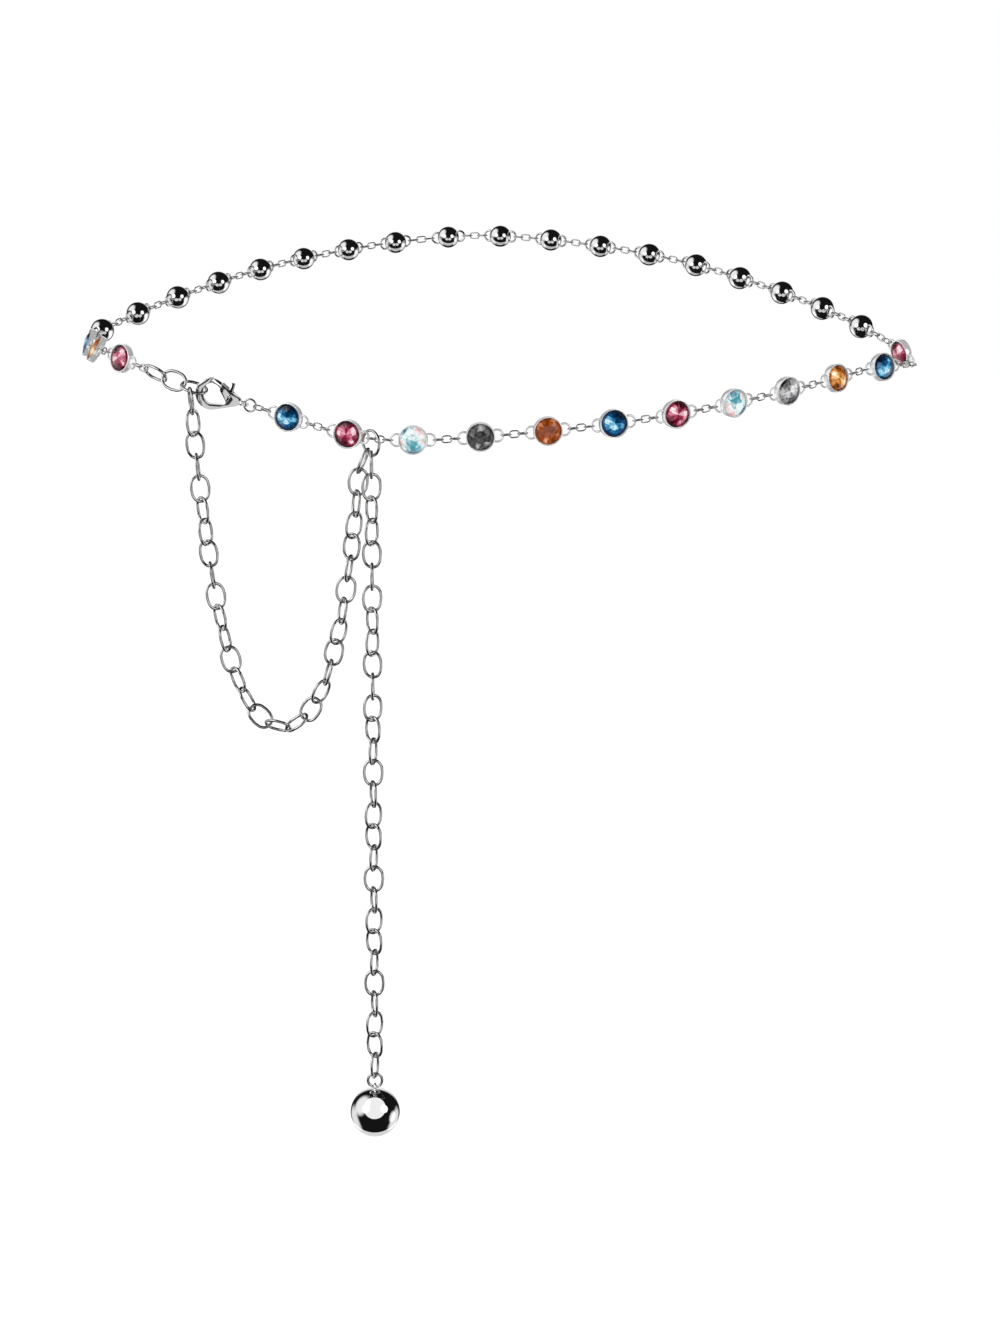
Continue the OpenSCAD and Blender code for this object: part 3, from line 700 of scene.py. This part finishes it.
def modelDropBall(spec):
    low, high = (Vector(corner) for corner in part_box("drop_ball"))
    middle = Vector(((low.x + high.x) / 2, (low.y + high.y) / 2, low.z + spec["radius"] + spec["above"]))
    bpy.ops.mesh.primitive_uv_sphere_add(segments=spec["around"], ring_count=spec["rings"], radius=spec["radius"])
    ball = bpy.context.object
    bpy.ops.mesh.primitive_torus_add(major_radius=spec["eyeRadius"], minor_radius=spec["eyeWire"],
                                     major_segments=spec["eyeAround"], minor_segments=spec["eyeSides"])
    eye = bpy.context.object
    selectVerts(eye, lambda co: True)
    bpy.ops.transform.rotate(value=math.pi / 2, orient_axis="Y", center_override=(0, 0, 0))
    bpy.ops.transform.translate(value=(0, 0, high.z - middle.z - spec["eyeRadius"] - spec["eyeWire"]))
    leaveEdit()
    both = joinAs([ball, eye], "dropBallMaster")
    shadeSmooth(both, spec["smooth"])
    piece = copyTo(both, "dropBall", Matrix.Translation(middle))
    removeMaster(both)
    return piece


dropBall = modelDropBall(dropSpec)
finishPiece(dropBall, "drop_ball", "ball_drop", chrome["ball"])
for master in (crystalMaster, settingMaster, ballMaster, longMaster, smallMaster):
    removeMaster(master)
print("drop ball modelled")

# Studio: white floor and background, two softboxes for the drop ball alone, softboxes low and high on
# both sides of the camera and one under the balls, and a dim surround with pale patches (towards, full
# within and gone beyond so many degrees, strength) that only the metal and the polished stones see
studio = {
    "floorLevel": -1.0, "floorSize": 14, "floorTone": 0.9, "floorRoughness": 0.9, "floorGlow": 0.2,
    "white": 1.0, "ambient": 1.0,
    "softboxes": {
        "behind": {"at": (-0.03, -0.001, -0.353), "aim": (-0.03, -0.082, -0.229), "across": 0.22, "deep": 0.2,
                   "radiance": 0.75, "dropBall": "INCLUDE"},
        "lowLeft": {"at": (-0.2, -0.55, -0.2), "aim": (0, 0.08, 0), "across": 0.42, "deep": 0.36,
                    "radiance": 0.7, "dropBall": "EXCLUDE"},
        "lowRight": {"at": (0.2, -0.55, -0.2), "aim": (0, 0.08, 0), "across": 0.42, "deep": 0.36,
                     "radiance": 0.7, "dropBall": "EXCLUDE"},
        "front": {"at": (-0.03, -0.152, -0.17), "aim": (-0.03, -0.082, -0.229), "across": 0.225, "deep": 0.225,
                  "radiance": 0.97, "dropBall": "INCLUDE"},
        "left": {"at": (-0.6, -0.55, 0.2), "aim": (0, 0.05, 0), "across": 0.56, "deep": 0.56,
                 "radiance": 1.4},
        "right": {"at": (0.6, -0.55, 0.2), "aim": (0, 0.05, 0), "across": 0.56, "deep": 0.56,
                  "radiance": 1.4},
        "under": {"at": (-0.03, 0.09, -0.12), "aim": (-0.03, 0.09, 0), "across": 0.32, "deep": 0.1,
                  "radiance": 0.55},
    },
    "patches": [
        ((-0.9, -0.1, 0.5), 24, 46, 0.95),
        ((1, 0, -0.3), 8, 22, 0.85),
        ((-0.82, 0.38, -0.45), 16, 34, 0.85),
        ((0.82, 0.38, -0.5), 16, 34, 0.85),
        ((0, 1, 0.1), 10, 30, 0.9),
    ],
    "gloom": 0.008,
}


def addFloor(spec):
    bpy.ops.mesh.primitive_plane_add(size=spec["floorSize"], location=(0, 0, 0))
    floor = bpy.context.object
    floor.data.transform(Matrix.Translation((0, 0, spec["floorLevel"])))
    floor.name = "floor"
    mat = bpy.data.materials.new("paleFloor")
    mat.use_nodes = True
    shader = mat.node_tree.nodes["Principled BSDF"]
    shader.inputs["Base Color"].default_value = (spec["floorTone"], spec["floorTone"], spec["floorTone"], 1)
    shader.inputs["Roughness"].default_value = spec["floorRoughness"]
    shader.inputs["Specular IOR Level"].default_value = 0
    shader.inputs["Emission Color"].default_value = (1, 1, 1, 1)
    shader.inputs["Emission Strength"].default_value = spec["floorGlow"]
    floor.data.materials.append(mat)
    floor.visible_glossy = False
    floor.visible_diffuse = False


def addSoftbox(name, spec):
    data = bpy.data.lights.new(name, "AREA")
    data.shape = "ELLIPSE"
    data.size = spec["across"]
    data.size_y = spec["deep"]
    data.energy = spec["radiance"] * math.pi ** 2 * spec["across"] * spec["deep"] / 4
    light = bpy.data.objects.new(name, data)
    bpy.context.scene.collection.objects.link(light)
    way = Vector(spec["aim"]) - Vector(spec["at"])
    light.matrix_world = Matrix.Translation(spec["at"]) @ way.to_track_quat("-Z", "Y").to_matrix().to_4x4()
    light.visible_camera = False
    light.visible_diffuse = False
    if "dropBall" in spec:
        # A light for the drop ball alone, or one that only the ball doesn't mirror
        receivers = bpy.data.collections.new(name + "Receivers")
        receivers.objects.link(dropBall)
        receivers.collection_objects[0].light_linking.link_state = spec["dropBall"]
        light.light_linking.receiver_collection = receivers


def makeSurround(spec):
    world = bpy.data.worlds.new("studio")
    bpy.context.scene.world = world
    world.use_nodes = True
    tree = world.node_tree
    tree.nodes.clear()
    link = tree.links.new
    out = addNode(tree, "ShaderNodeOutputWorld", (1200, 0))
    coords = addNode(tree, "ShaderNodeTexCoord", (-900, 0))

    def patch(way, inner, outer, strength, at):
        # Soft round patch of light around one direction, sizes in degrees
        along = addNode(tree, "ShaderNodeVectorMath", (-700, at), operation="DOT_PRODUCT")
        along.inputs[1].default_value = Vector(way).normalized()
        link(coords.outputs["Generated"], along.inputs[0])
        soft = addNode(tree, "ShaderNodeMapRange", (-500, at), interpolation_type="SMOOTHSTEP")
        soft.inputs["From Min"].default_value = math.cos(math.radians(outer))
        soft.inputs["From Max"].default_value = math.cos(math.radians(inner))
        soft.inputs["To Max"].default_value = strength
        link(along.outputs["Value"], soft.inputs["Value"])
        return soft.outputs["Result"]

    total = None
    for number, (way, inner, outer, strength) in enumerate(spec["patches"]):
        more = addNode(tree, "ShaderNodeMath", (-200, -200 * number), operation="ADD")
        if total:
            link(total, more.inputs[1])
        else:
            more.inputs[1].default_value = spec["gloom"]
        link(patch(way, inner, outer, strength, -200 * number), more.inputs[0])
        total = more.outputs[0]

    def background(colour, strength, at):
        node = addNode(tree, "ShaderNodeBackground", (500, at))
        node.inputs["Color"].default_value = (*colour, 1)
        node.inputs["Strength"].default_value = strength
        return node

    mirrored = background((1, 1, 1), 1, -300)
    link(total, mirrored.inputs["Strength"])
    path = addNode(tree, "ShaderNodeLightPath", (300, 400))
    soft = addNode(tree, "ShaderNodeMixShader", (800, -150))
    link(path.outputs["Is Diffuse Ray"], soft.inputs[0])
    link(mirrored.outputs[0], soft.inputs[1])
    link(background((1, 1, 1), spec["ambient"], -100).outputs[0], soft.inputs[2])
    mix = addNode(tree, "ShaderNodeMixShader", (1000, 0))
    link(path.outputs["Is Camera Ray"], mix.inputs[0])
    link(soft.outputs[0], mix.inputs[1])
    link(background((1, 1, 1), spec["white"], 100).outputs[0], mix.inputs[2])
    link(mix.outputs[0], out.inputs[0])


addFloor(studio)
makeSurround(studio)
for name, spec in studio["softboxes"].items():
    addSoftbox(name + "Softbox", spec)
print("studio lit")
